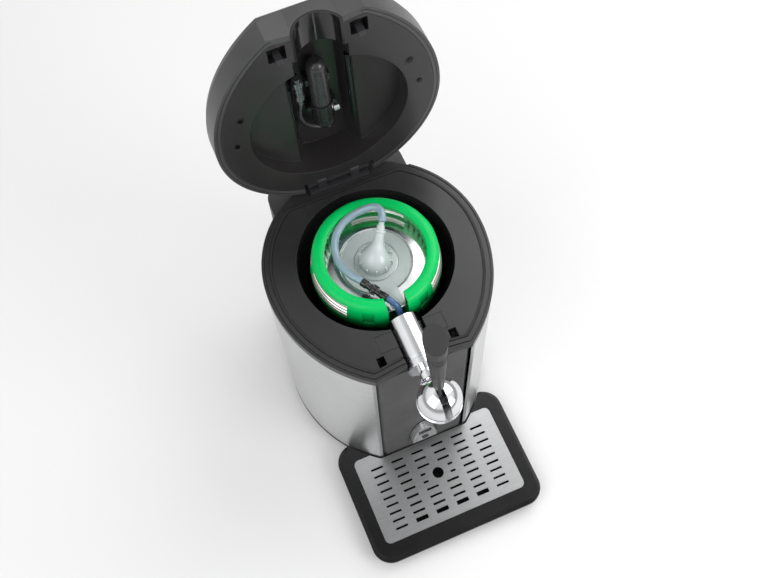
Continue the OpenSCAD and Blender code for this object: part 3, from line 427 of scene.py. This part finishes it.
def brick(low, high, bevel=0.0):
    """A block between two corners, with rounded edges where bevel is given."""
    mesh = bmesh.new()
    made = bmesh.ops.create_cube(mesh, size=1)
    for vert in made["verts"]:
        vert.co = [lo + (c + 0.5) * (hi - lo) for c, lo, hi in zip(vert.co, low, high)]
    if bevel:
        bmesh.ops.bevel(mesh, geom=mesh.edges[:], offset=bevel, segments=3, affect="EDGES", profile=0.5)
    return mesh


def rod(start, end, radius, steps=64):
    """A round bar between two points."""
    start, end = Vector(start), Vector(end)
    mesh = lathe([(0, 0), (radius, 0), (radius, (end - start).length), (0, (end - start).length)], steps)
    turn = (end - start).to_track_quat("Z", "Y").to_matrix().to_4x4()
    mesh.transform(Matrix.Translation(start) @ turn)
    return mesh


def turned(profile, steps=144):
    """A ring turned about Z from a closed loop of (radius, height) points."""
    mesh = bmesh.new()
    rings = []
    for radius, height in profile:
        turns = [2 * math.pi * k / steps for k in range(steps)]
        rings.append(
            [mesh.verts.new((radius * math.cos(a), radius * math.sin(a), height)) for a in turns]
        )
    for low, high in zip(rings, rings[1:] + rings[:1]):
        for k in range(steps):
            n = (k + 1) % steps
            mesh.faces.new((low[k], low[n], high[n], high[k]))
    return mesh


def sector(inner, outer, first, last, low, high, steps=24):
    """A block cut from a ring, between two directions in degrees."""
    mesh = bmesh.new()
    slices = []
    for k in range(steps + 1):
        a = math.radians(first + (last - first) * k / steps)
        slices.append(
            [
                mesh.verts.new((r * math.cos(a), r * math.sin(a), z))
                for r, z in ((inner, low), (outer, low), (outer, high), (inner, high))
            ]
        )
    for near, far in zip(slices, slices[1:]):
        for k in range(4):
            n = (k + 1) % 4
            mesh.faces.new((near[k], near[n], far[n], far[k]))
    mesh.faces.new(slices[0])
    mesh.faces.new(slices[-1])
    return mesh


def smooth_route(points, spans=8):
    """A smooth curve through every point."""
    points = [Vector(point) for point in points]
    ends = [2 * points[0] - points[1], *points, 2 * points[-1] - points[-2]]
    route = []
    for a, b, c, d in zip(ends, ends[1:], ends[2:], ends[3:]):
        for k in range(spans):
            t = k / spans
            bend = 2 * a - 5 * b + 4 * c - d
            twist = 3 * b - a - 3 * c + d
            route.append((2 * b + (c - a) * t + bend * t**2 + twist * t**3) / 2)
    route.append(points[-1])
    return route


def loft(route, radii, sides=28):
    """A round bar along a route, with a radius at each of its points."""
    mesh = bmesh.new()
    side = (route[1] - route[0]).orthogonal().normalized()
    rings = []
    for k, (at, radius) in enumerate(zip(route, radii)):
        ahead = (route[min(k + 1, len(route) - 1)] - route[max(k - 1, 0)]).normalized()
        side = (side - side.dot(ahead) * ahead).normalized()
        other = ahead.cross(side)
        ring = []
        for j in range(sides):
            a = 2 * math.pi * j / sides
            ring.append(mesh.verts.new(at + radius * (math.cos(a) * side + math.sin(a) * other)))
        rings.append(ring)
    for near, far in zip(rings, rings[1:]):
        for j in range(sides):
            n = (j + 1) % sides
            mesh.faces.new((near[j], near[n], far[n], far[j]))
    mesh.faces.new(rings[0])
    mesh.faces.new(rings[-1])
    return mesh


def stepped(start, end, steps):
    """A turned bar between two points, from (distance, radius) steps in millimetres."""
    start, end = Vector(start), Vector(end)
    ahead = (end - start).normalized()
    route = []
    radii = []
    for distance, radius in steps:
        route.append(start + ahead * distance * MM)
        radii.append(radius * MM)
    return loft(route, radii)


# ---- Hoses: smooth runs along the routes of the solids, in millimetres ----

DECK_MM = DECK_Z / MM
RIM_MM = RIM_Z / MM
BEER_ROUTE = [
    (22, 31, 25), (24, 34, 27), (26, 42, 27.5), (23, 50, 27), (14, 55, 24), (-4, 57, 18),
    (-23, 52, 13), (-37, 39, 9), (-44, 20, 8), (-44, 1, 8), (-38, -14, 9), (-32, -23, 10), (-29, -28, 10),
]
FEED_ROUTE = [
    (-9.5, -60.5, 9), (-7, -64.6, 8.9), (-3, -70, 5.5), (-1, -74, -1), (0, -77.5, -9), (0, -80.5, -15),
]
GAS_ROUTE = [
    (-25, -6.9, 28), (-25.5, -1, 28.2), (-27, 8, 29.5), (-27, 24, 33), (-22, 42, 37), (-12, 56, 39),
    (-2, 61, 38), (4, 60, 35), (5, 57, 32), (5, 53, 31), (5, 48.6, 31),
]
BEER_R = 4.75 * MM
FEED_R = 4 * MM
GAS_R = 2 * MM


def hose(name, node, points, level, radius, body, slot, placed=None):
    """A smooth hose in place of a node; its points are in millimetres, above a level."""
    route = smooth_route([Vector((x, y, level + z)) * MM for x, y, z in points])
    piece = keep(loft(route, [radius] * len(route)), name, body, slot, placed)
    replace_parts(piece, node)


def make_hoses():
    """Beer line to the coupler, blue line to the tap, gas hose in the lid."""
    hose("beer_hose", "beer_line", BEER_ROUTE, DECK_MM, BEER_R, "keg", "clear_tube")
    hose("feed_hose", "feed_line", FEED_ROUTE, DECK_MM, FEED_R, "keg", "blue_tube")
    hose("gas_run", "gas_hose", GAS_ROUTE, RIM_MM, GAS_R, "lid", "gas_tube", OPENED)


def make_coupler():
    """Black inline coupler: two sockets, a waist with a collar and two release tabs."""
    start = Vector((-29, -28, DECK_MM + 10)) * MM
    end = Vector((-9.5, -60.5, DECK_MM + 9)) * MM
    steps = [
        (0.4, 5.3), (7.5, 5.3), (8.5, 4.4), (12, 3.9), (12.2, 5.0), (14.2, 5.0), (14.4, 3.4), (17, 3.4),
        (17.2, 5.2), (20, 5.2), (20.4, 3.6), (24, 3.6), (24.2, 4.6), (26, 4.6), (26.4, 4.1), (29, 4.9),
        (37, 4.9), (37.5, 4.3),
    ]
    piece = keep(stepped(start, end, steps), "inline_coupler", "keg", "coupler", sharp=25)
    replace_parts(piece, "line_coupler")
    ahead = (end - start).normalized()
    across = ahead.cross(Vector((0, 0, 1))).normalized()
    for side in (-1, 1):
        tab = start + ahead * 18.5 * MM + across * side * 5.4 * MM
        mesh = brick((-4 * MM, -0.7 * MM, -1.6 * MM), (4 * MM, 0.7 * MM, 1.6 * MM), 0.3 * MM)
        turn = Matrix((ahead, across, ahead.cross(across))).transposed().to_4x4()
        keep(mesh, f"coupler_tab_{SIDES[side]}", "keg", "coupler", Matrix.Translation(tab) @ turn)


# ---- Keg: green grip ring, metal chime behind its windows, cap and spout ----

KEG_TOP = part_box("keg_ring")[1].z
RING_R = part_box("keg_ring")[1].x
RING_IN = 62 * MM
RING_H = KEG_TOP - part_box("keg_ring")[0].z
# The can's lid lies this far below the ring's top
LID_DROP = 27.5 * MM
NOTCH_HALF = 13 * MM
# Dents for the hand round the ring's upper edge: how many, where the first is, and their size
SCALLOPS = 6
SCALLOP_TURN = 35
SCALLOP_OUT = 14 * MM
SCALLOP_R = 16 * MM
# Directions about the keg's axis, in degrees: the line's notch, windows in the outer wall,
# pockets, the long gap in the inner wall and the stretch where no chime shows
NOTCH_TURN = -92
WINDOWS = [(173, 222), (-54, 2), (14, 48), (62, 108), (122, 167)]
POCKETS = [-119, -66]
GAP = (34, 96)
BLANK = (-133, -57)
RIBS = 44
RIB_CLEAR = 16
SPOUT_RIBS = 10
# Beads of the chime in millimetres: from the ring's outer or inner edge, and below its top
OUTER_BEADS = [(-3.6, 28), (-4.1, 22), (-5.1, 16), (-6.9, 10.9)]
INNER_BEADS = [(6.8, 10.8), (7.4, 17.2), (7.4, 23.6)]
BEAD_R = 3.1


def make_keg_ring():
    """Green ring with a rounded lip, a notch, windows, hand dents and two pockets."""
    top = KEG_TOP
    low = top - RING_H
    profile = [
        (RING_R - 4 * MM, low), (RING_R - MM, low), (RING_R, low + MM), (RING_R, top - 26 * MM),
        (RING_R - 1.2 * MM, top - 14 * MM), (RING_R - 2.6 * MM, top - 7.5 * MM),
        (RING_R - 4.6 * MM, top - 3.6 * MM), (RING_R - 7.6 * MM, top - 0.9 * MM),
        (RING_R - 10.5 * MM, top), (RING_IN + 3 * MM, top),
        (RING_IN + 0.8 * MM, top - MM), (RING_IN, top - 3.5 * MM), (RING_IN + 2 * MM, top - 14 * MM),
        (RING_IN + 4 * MM, top - 25.6 * MM), (RING_IN + 7 * MM, top - 25.6 * MM),
        (RING_IN + 5 * MM, top - 8 * MM), (RING_R - 7 * MM, top - 7 * MM), (RING_R - 4 * MM, top - 24 * MM),
    ]
    ring = keep(turned(profile), "grip_ring", "keg", "keg_green")
    notch = brick((40 * MM, -NOTCH_HALF, top - 37 * MM), (90 * MM, NOTCH_HALF, top + MM))
    notch.transform(Matrix.Rotation(math.radians(NOTCH_TURN), 4, "Z"))
    cut(ring, notch, "notch")
    for first, last in WINDOWS:
        cut(ring, sector(RING_R - 12 * MM, 2 * RING_R, first, last, top - 31 * MM, top - 5.5 * MM), "window")
    cut(ring, sector(RING_IN - 9 * MM, RING_R - 11 * MM, *GAP, top - 22 * MM, top - 7 * MM), "gap")
    for k in range(SCALLOPS):
        a = math.radians(360 * k / SCALLOPS + SCALLOP_TURN)
        at = (RING_R + SCALLOP_OUT) * Vector((math.cos(a), math.sin(a), 0))
        scallop = rod(at + Vector((0, 0, top - 7 * MM)), at + Vector((0, 0, top + MM)), SCALLOP_R)
        cut(ring, scallop, "scallop")
    for turn in POCKETS:
        pocket = brick((RING_R - 2.6 * MM, -7 * MM, top - 33 * MM), (RING_R + 2 * MM, 7 * MM, top - 9 * MM))
        pocket.transform(Matrix.Rotation(math.radians(turn), 4, "Z"))
        cut(ring, pocket, "pocket")
    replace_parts(ring, "keg_ring")


def make_ring_ribs():
    """Upright ribs inside the ring, all in one piece, with none at the notch or the gap."""
    mesh = bmesh.new()
    for k in range(RIBS):
        turn = 360 * k / RIBS + 4
        away = abs((turn - NOTCH_TURN + 180) % 360 - 180)
        if away < RIB_CLEAR or GAP[0] - 4 < turn < GAP[1] + 4:
            continue
        part = brick((-0.9 * MM, -1.3 * MM, -9 * MM), (0.9 * MM, 1.3 * MM, 9 * MM), 0.4 * MM)
        part.transform(
            Matrix.Rotation(math.radians(turn), 4, "Z")
            @ Matrix.Translation((RING_IN + 2 * MM, 0, KEG_TOP - 14 * MM))
            @ Matrix.Rotation(math.radians(-10), 4, "Y")
        )
        data = bpy.data.meshes.new("rib")
        part.to_mesh(data)
        part.free()
        mesh.from_mesh(data)
        bpy.data.meshes.remove(data)
    keep(mesh, "ring_ribs", "keg", "keg_green")


def bead(edge, out, down, facing, steps):
    """Points along one bead, which faces outward (1) or inward (-1), at steps of 20 degrees."""
    points = []
    for step in steps:
        turn = math.radians(20 * step)
        x = edge + (out + facing * BEAD_R * math.cos(turn)) * MM
        points.append((x, KEG_TOP + (BEAD_R * math.sin(turn) - down) * MM))
    return points


def make_keg_chime():
    """Bright rolled shoulder of the can, seen through the ring's windows."""
    top = KEG_TOP
    profile = [(RING_IN + 8 * MM, top - 31 * MM)]
    for out, down in OUTER_BEADS:
        profile += bead(RING_R, out, down, 1, range(-2, 6))
    for out, down in INNER_BEADS:
        profile += bead(RING_IN, out, down, -1, range(5, -3, -1))
    chime = keep(turned(profile), "keg_chime", "keg", "dial")
    chime.data.materials[0] = chime_finish()
    cut(chime, sector(RING_IN - 9 * MM, 2 * RING_R, *BLANK, top - 40 * MM, top + MM), "blank")


def make_keg_cap():
    """White moulded plate round the spout, with a tongue that points to the ring's notch."""
    low = KEG_TOP - LID_DROP
    plate = [
        (27.2 * MM, low), (43 * MM, low), (43.6 * MM, low + 0.8 * MM), (43 * MM, low + 1.6 * MM),
        (28.5 * MM, low + 1.2 * MM),
    ]
    keep(turned(plate), "cap_plate", "keg", "spout")
    tongue = brick((42 * MM, -9 * MM, low + 1.6 * MM), (68 * MM, 9 * MM, low + 2.6 * MM), 0.4 * MM)
    keep(tongue, "cap_tongue", "keg", "spout", Matrix.Rotation(math.radians(NOTCH_TURN + 4), 4, "Z"))


def make_spout():
    """Bulb with a leaning neck, a ring and a nozzle, and grip ribs on its sides.

    A station is a place and a radius in millimetres, with the height above the can's lid.
    """
    base = (KEG_TOP - LID_DROP) / MM
    stations = [
        (0, 0, 0, 26.5), (0, 0, 1.6, 26.2), (0, 0, 2.2, 20.5), (0, 0, 6, 20.8), (0.5, 0.6, 11, 19.6),
        (1.8, 2.3, 15, 16.4), (4, 5.4, 18.6, 12.2), (7, 9.8, 21.2, 8.4), (10.5, 14.8, 24, 6.4),
        (14.8, 20.8, 27.4, 5.6), (15, 21.2, 27.6, 6.8), (16.6, 23.4, 28.8, 6.8), (16.8, 23.7, 29, 5.2),
        (19.8, 27.9, 31.5, 4.9), (20, 28.2, 31.7, 3.6), (21.9, 30.9, 33.4, 3.6),
    ]
    route = [Vector((x, y, base + z)) * MM for x, y, z, _ in stations]
    piece = keep(loft(route, [r * MM for *_, r in stations], 48), "spout_bulb", "keg", "spout")
    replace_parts(piece, "keg_spout")
    for k in range(SPOUT_RIBS):
        rib = brick((18 * MM, -1.1 * MM, 3 * MM), (21.6 * MM, 1.1 * MM, 13 * MM), 0.5 * MM)
        turn = Matrix.Rotation(math.radians(360 * k / SPOUT_RIBS), 4, "Z")
        placed = Matrix.Translation((0, 0, base * MM)) @ turn
        keep(rib, f"spout_rib_{k + 1}", "keg", "spout", placed)


# ---- Lid: rounded ribs beside the regulator, dark rings of painted shade round two of the screws ----

# Places of the dark rings of painted shade round two screws, in millimetres from the axis
SHADE_RING_PLACES = [(-101, -50), (101, -50)]
# Side of each rib, its radius and its front end in millimetres
CHANNEL_RIBS = [(1, 4.4, -66), (-1, 2.2, -38)]
RIB_OUT = 37.4 * MM
RIB_UP = 26.5 * MM
RIB_END = 50 * MM


def make_channel_ribs():
    """Rounded edges of the channel that holds the regulator."""
    for side, radius, first in CHANNEL_RIBS:
        start = Vector((side * RIB_OUT, first * MM, RIM_Z + RIB_UP))
        end = Vector((side * RIB_OUT, RIB_END, RIM_Z + RIB_UP))
        keep(rod(start, end, radius * MM, 40), f"channel_rib_{SIDES[side]}", "lid", "tunnel", OPENED)


def make_screw_shade_rings():
    """Dark rings of painted shade round the heads of the two front screws, standing in for the shade in their
    holes.
    """
    low = RIM_Z - 0.5 * MM
    high = RIM_Z - 0.05 * MM
    # Painted shade: a thin black ring where the screw hole's shadow falls.
    profile = [(3.1 * MM, low), (4.9 * MM, low), (5.1 * MM, high), (3.1 * MM, high)]
    for number, (x, y) in enumerate(SHADE_RING_PLACES, 1):
        placed = OPENED @ Matrix.Translation((x * MM, y * MM, 0))
        keep(turned(profile, 48), f"screw_shade_ring_{number}", "lid", "seal", placed)


# ---- Tap: smooth turned barrel ----

TAP_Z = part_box("tap_feed")[0].z / 2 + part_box("tap_feed")[1].z / 2
# The barrel's own sizes and places, in millimetres
BARREL_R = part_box("tap_barrel")[1].x / MM
BARREL_FRONT = -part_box("tap_barrel")[0].y / MM
BARREL_BACK = -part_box("tap_barrel")[1].y / MM
BORE_R = BARREL_R - 2.4
NECK_HOLE_R = 9.3


def make_barrel():
    """Plated tube with softened ends and a fine groove near its front."""
    outer = BARREL_R
    inner = BORE_R
    front = BARREL_FRONT
    back = BARREL_BACK
    profile = [
        (inner, back + 0.4), (inner + 0.6, back), (outer - 0.5, back), (outer, back + 0.5),
        (outer, front - 3.6), (outer - 0.5, front - 3.4), (outer - 0.5, front - 2.8), (outer, front - 2.6),
        (outer, front - 0.5), (outer - 0.5, front), (NECK_HOLE_R, front),
        (NECK_HOLE_R, front - 4.8), (inner, front - 5),
    ]
    mesh = turned([(r * MM, along * MM) for r, along in profile])
    placed = Matrix.Translation((0, 0, TAP_Z)) @ Matrix.Rotation(math.radians(90), 4, "X")
    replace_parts(keep(mesh, "barrel_tube", "body", "chrome", placed), "tap_barrel")


# ---- Small marks: deck seams, dark line round the lid's rim ----

# Outline of the closed lid, as in the model: flat front, with a shallow dip over the tap
LID_FRONT = 156.5 * MM
LID_HALF = 55 * MM
FRONT_DIP = 4 * MM
DIP_HALF = 26 * MM
# The line round the rim: place, width, height, depth of its root and ends in degrees
LINE_INSET = 3.2 * MM
LINE_WIDTH = 0.7 * MM
LINE_RISE = 0.3 * MM
LINE_ROOT = 0.02 * MM
LINE_ENDS = (-72, 252)
# Half of the line's gap at the hinge, and the place of the deck's seams either side of the middle
HINGE_HALF = 47 * MM
SEAM_X = 54 * MM


def lid_reach(angle, inset):
    """Distance from the axis to the lid's outline, in one direction, drawn in by inset."""
    x, y = math.cos(angle), math.sin(angle)
    if y >= 0:
        return LID_R - inset
    arc = (LID_FRONT**2 + (LID_R - LID_HALF) ** 2) / (2 * (LID_R - LID_HALF))
    shift = arc - LID_R
    along = -abs(x) * shift
    side = along + math.sqrt(along**2 - shift**2 + (arc - inset) ** 2)
    front = (LID_FRONT - inset) / -y
    slope = FRONT_DIP / (LID_HALF - DIP_HALF)
    dip_flat = (LID_FRONT - FRONT_DIP - inset) / -y
    rise = -y - abs(x) * slope
    dip_slant = (LID_FRONT - FRONT_DIP - DIP_HALF * slope - inset) / rise if rise > 0.01 else 1
    return min(side, front, max(dip_flat, dip_slant))


def make_rim_line():
    """A fine raised line round the lid's rim, open at the hinge and at the tap's tunnel."""
    mesh = bmesh.new()
    first, last = (math.radians(end) for end in LINE_ENDS)
    steps = 180
    inner = LINE_INSET + LINE_WIDTH
    corners = [(LINE_INSET, LINE_ROOT), (LINE_INSET, -LINE_RISE), (inner, -LINE_RISE), (inner, LINE_ROOT)]
    rows = []
    for k in range(steps + 1):
        angle = first + (last - first) * k / steps
        row = []
        for inset, rise in corners:
            reach = lid_reach(angle, inset)
            row.append(mesh.verts.new((reach * math.cos(angle), reach * math.sin(angle), RIM_Z + rise)))
        rows.append(row)
    for near, far in zip(rows, rows[1:]):
        if abs(near[0].co.x) < HINGE_HALF and near[0].co.y > 0:
            continue
        for k in range(4):
            n = (k + 1) % 4
            mesh.faces.new((near[k], near[n], far[n], far[k]))
    bmesh.ops.holes_fill(mesh, edges=mesh.edges[:], sides=4)
    loose = [vert for vert in mesh.verts if not vert.link_faces]
    bmesh.ops.delete(mesh, geom=loose, context="VERTS")
    keep(mesh, "rim_line", "lid", "seal", OPENED)


def make_deck_seams():
    """Short joints in the deck, in front of the hinge."""
    for side in (-1, 1):
        low = (side * SEAM_X - 0.4 * MM, 83 * MM, DECK_Z - 0.1 * MM)
        high = (side * SEAM_X + 0.4 * MM, 102 * MM, DECK_Z + 0.12 * MM)
        keep(brick(low, high, 0.04 * MM), f"deck_seam_{SIDES[side]}", "body", "seal")


# ---- Studio ----

FLOOR_HALF = 6
FLOOR_SEEN = 0.72
FLOOR_MIRRORED = 0.60
WORLD_LIGHT = 0.72
# Brightness of the studio in reflections, from straight down (0) to straight up (1)
SKY_DOWN = 0.75
SKY_UP = 0.35
SKY_BANDS = ((0.44, 0.5), (0.5, 0.4), (0.58, 0.3), (0.68, 0.8), (0.90, 0.95), (0.955, 0.65), (0.985, 0.36))
# Name, place, point aimed at, size and watts of each softbox
LAMPS = (
    ("key", (1.75, 0.8, 2.25), (0, 0, 0.2), (2.4, 2.4), 46),
    ("fill", (-1.7, -0.7, 1.9), (0, 0, 0.3), (2.0, 2.2), 24),
    ("front", (1.5, -1.7, 1.3), (0, 0.1, 0.4), (1.2, 1.2), 24),
)


def softbox(name, at, aim, size, watts):
    """A soft rectangular lamp."""
    data = bpy.data.lights.new(name, "AREA")
    data.shape = "RECTANGLE"
    data.size, data.size_y = size
    data.energy = watts
    lamp = bpy.data.objects.new(name, data)
    lamp.location = at
    lamp.rotation_euler = (Vector(aim) - Vector(at)).to_track_quat("-Z", "Y").to_euler()
    bpy.context.scene.collection.objects.link(lamp)


def make_floor():
    """White floor, a little darker in reflections than to the eye."""
    mesh = bmesh.new()
    bmesh.ops.create_grid(mesh, x_segments=2, y_segments=2, size=FLOOR_HALF)
    data = bpy.data.meshes.new("floor")
    mesh.to_mesh(data)
    mesh.free()
    floor = bpy.data.objects.new("floor", data)
    bpy.context.scene.collection.objects.link(floor)
    material = bpy.data.materials.new("floor")
    material.use_nodes = True
    tree = material.node_tree
    shader = tree.nodes["Principled BSDF"]
    shader.inputs["Roughness"].default_value = 0.9
    path = tree.nodes.new("ShaderNodeLightPath")
    tone = tree.nodes.new("ShaderNodeMapRange")
    tone.inputs["To Min"].default_value = FLOOR_SEEN
    tone.inputs["To Max"].default_value = FLOOR_MIRRORED
    tree.links.new(path.outputs["Is Glossy Ray"], tone.inputs["Value"])
    tree.links.new(tone.outputs["Result"], shader.inputs["Base Color"])
    data.materials.append(material)


def make_world():
    """White behind the object, and a studio of bright and dark bands in its reflections."""
    world = bpy.data.worlds.new("studio")
    bpy.context.scene.world = world
    world.use_nodes = True
    tree = world.node_tree
    tree.nodes.clear()
    add = tree.nodes.new
    output = add("ShaderNodeOutputWorld")
    plain = add("ShaderNodeBackground")
    plain.inputs["Color"].default_value = (1, 1, 1, 1)
    plain.inputs["Strength"].default_value = WORLD_LIGHT
    white = add("ShaderNodeBackground")
    white.inputs["Strength"].default_value = 1.0
    mirror = add("ShaderNodeBackground")
    direction = add("ShaderNodeTexCoord")
    parts = add("ShaderNodeSeparateXYZ")
    height = add("ShaderNodeValToRGB")
    ramp = height.color_ramp
    ramp.elements[0].position = 0.0
    ramp.elements[0].color = (SKY_DOWN, SKY_DOWN, SKY_DOWN, 1)
    ramp.elements[1].position = 1.0
    ramp.elements[1].color = (SKY_UP, SKY_UP, SKY_UP, 1)
    for place, tone in SKY_BANDS:
        element = ramp.elements.new(place)
        element.color = (tone, tone, tone, 1)
    raised = add("ShaderNodeMapRange")
    raised.inputs["From Min"].default_value = -1
    raised.inputs["From Max"].default_value = 1
    path = add("ShaderNodeLightPath")
    first = add("ShaderNodeMixShader")
    second = add("ShaderNodeMixShader")
    link = tree.links.new
    link(direction.outputs["Generated"], parts.inputs["Vector"])
    link(parts.outputs["Z"], raised.inputs["Value"])
    link(raised.outputs["Result"], height.inputs["Fac"])
    link(height.outputs["Color"], mirror.inputs["Color"])
    link(path.outputs["Is Glossy Ray"], first.inputs["Fac"])
    link(plain.outputs[0], first.inputs[1])
    link(mirror.outputs[0], first.inputs[2])
    link(path.outputs["Is Camera Ray"], second.inputs["Fac"])
    link(first.outputs[0], second.inputs[1])
    link(white.outputs[0], second.inputs[2])
    link(second.outputs[0], output.inputs["Surface"])


def make_studio():
    """World, floor and lamps."""
    bpy.context.scene.view_settings.view_transform = "Standard"
    make_world()
    make_floor()
    for lamp in LAMPS:
        softbox(*lamp)


dress_frame()
make_hoses()
make_coupler()
make_keg_ring()
make_ring_ribs()
make_keg_chime()
make_keg_cap()
make_spout()
make_rim_line()
make_deck_seams()
make_barrel()
make_channel_ribs()
make_screw_shade_rings()
make_studio()
